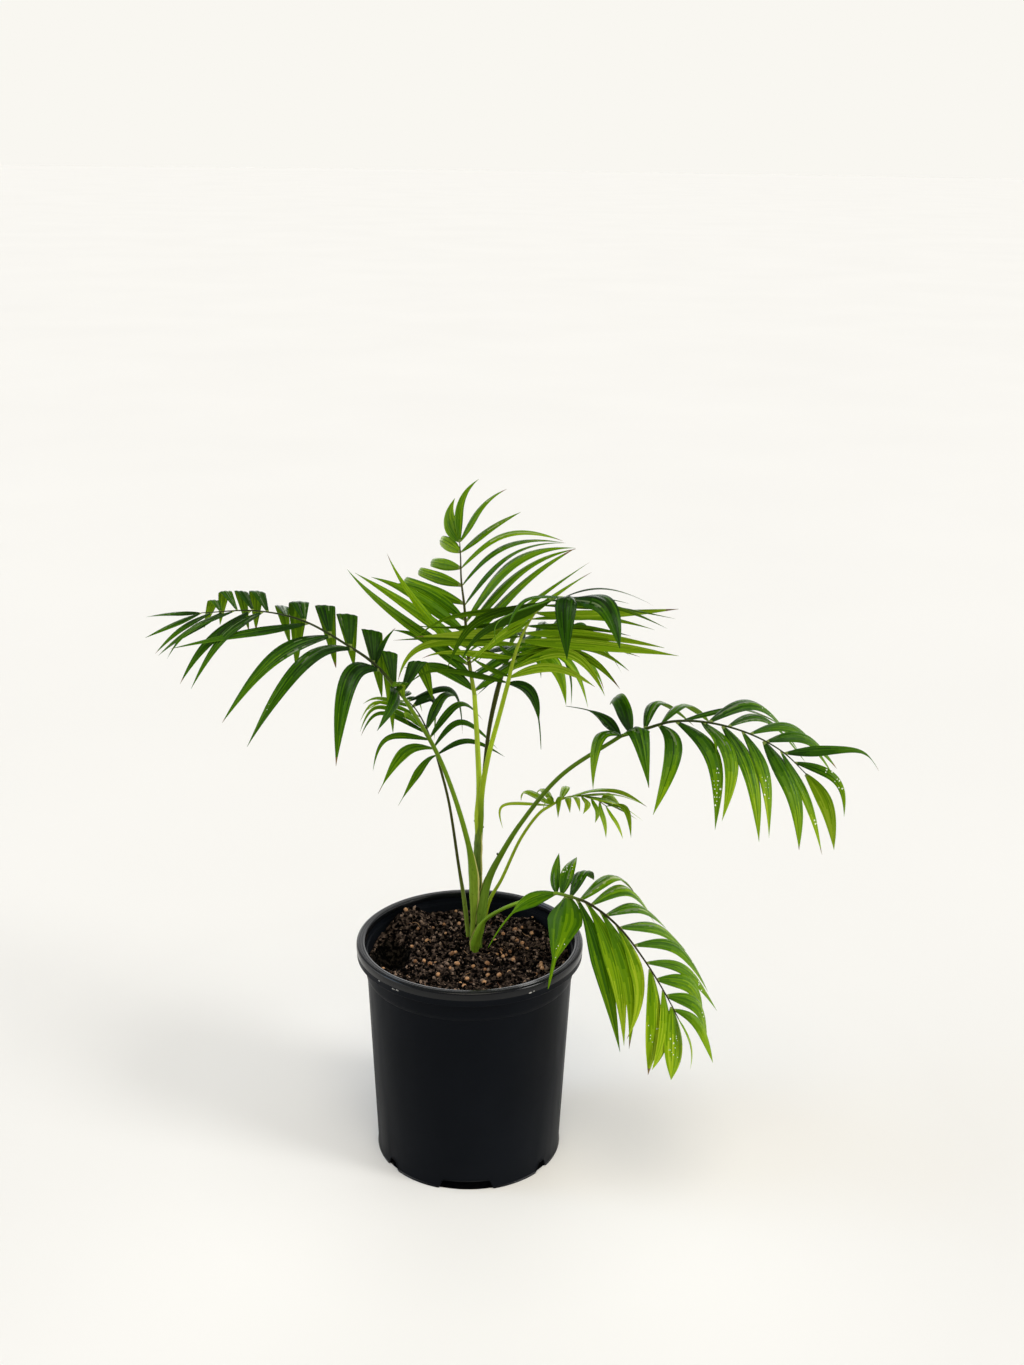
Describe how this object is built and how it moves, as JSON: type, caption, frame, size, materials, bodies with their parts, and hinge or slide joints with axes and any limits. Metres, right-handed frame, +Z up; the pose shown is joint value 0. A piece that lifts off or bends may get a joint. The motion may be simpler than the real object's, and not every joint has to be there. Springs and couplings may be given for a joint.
{
  "type": "potted parlour palm",
  "caption": "Young parlour palm with arching feather fronds on slim green stalks, growing in a round tapered black nursery pot of potting mix.",
  "frame": {"origin": "middle of the pot's flat underside", "axes": "+Z up; -Y towards the front, the side with the lowest frond to its right; +X to the right"},
  "size_m": [0.6226, 0.2934, 0.6016],
  "materials": {
    "pot_plastic": "satin black, slightly scuffed at the lip",
    "potting_mix": "matte, crumbly and fibrous, with tan fertiliser prills",
    "stem_green": "smooth waxy green",
    "leaf_green": "glossy above, finely veined along its length"
  },
  "bodies": {
    "root": {"pot": "pot_plastic", "soil": "potting_mix", "main_stem": "stem_green", "left_frond_stalk": "stem_green", "left_small_frond_stalk": "stem_green", "upright_frond_stalk": "stem_green", "centre_front_frond_stalk": "stem_green", "centre_back_frond_stalk": "stem_green", "right_frond_stalk": "stem_green", "right_small_frond_stalk": "stem_green", "right_low_frond_stalk": "stem_green", "left_frond_near_inner_blade": "leaf_green", "left_frond_near_outer_blade": "leaf_green", "left_frond_far_inner_blade": "leaf_green", "left_frond_far_outer_blade": "leaf_green", "left_small_frond_near_blade": "leaf_green", "left_small_frond_far_blade": "leaf_green", "upright_frond_right_blade": "leaf_green", "upright_frond_left_blade": "leaf_green", "centre_front_frond_right_inner_blade": "leaf_green", "centre_front_frond_right_outer_blade": "leaf_green", "centre_front_frond_left_inner_blade": "leaf_green", "centre_front_frond_left_outer_blade": "leaf_green", "centre_back_frond_near_blade": "leaf_green", "centre_back_frond_far_blade": "leaf_green", "right_frond_near_inner_blade": "leaf_green", "right_frond_near_outer_blade": "leaf_green", "right_frond_far_inner_blade": "leaf_green", "right_frond_far_outer_blade": "leaf_green", "right_small_frond_near_blade": "leaf_green", "right_small_frond_far_blade": "leaf_green", "right_low_frond_near_inner_blade": "leaf_green", "right_low_frond_near_outer_blade": "leaf_green", "right_low_frond_far_inner_blade": "leaf_green", "right_low_frond_far_outer_blade": "leaf_green"}
  },
  "joints": []
}
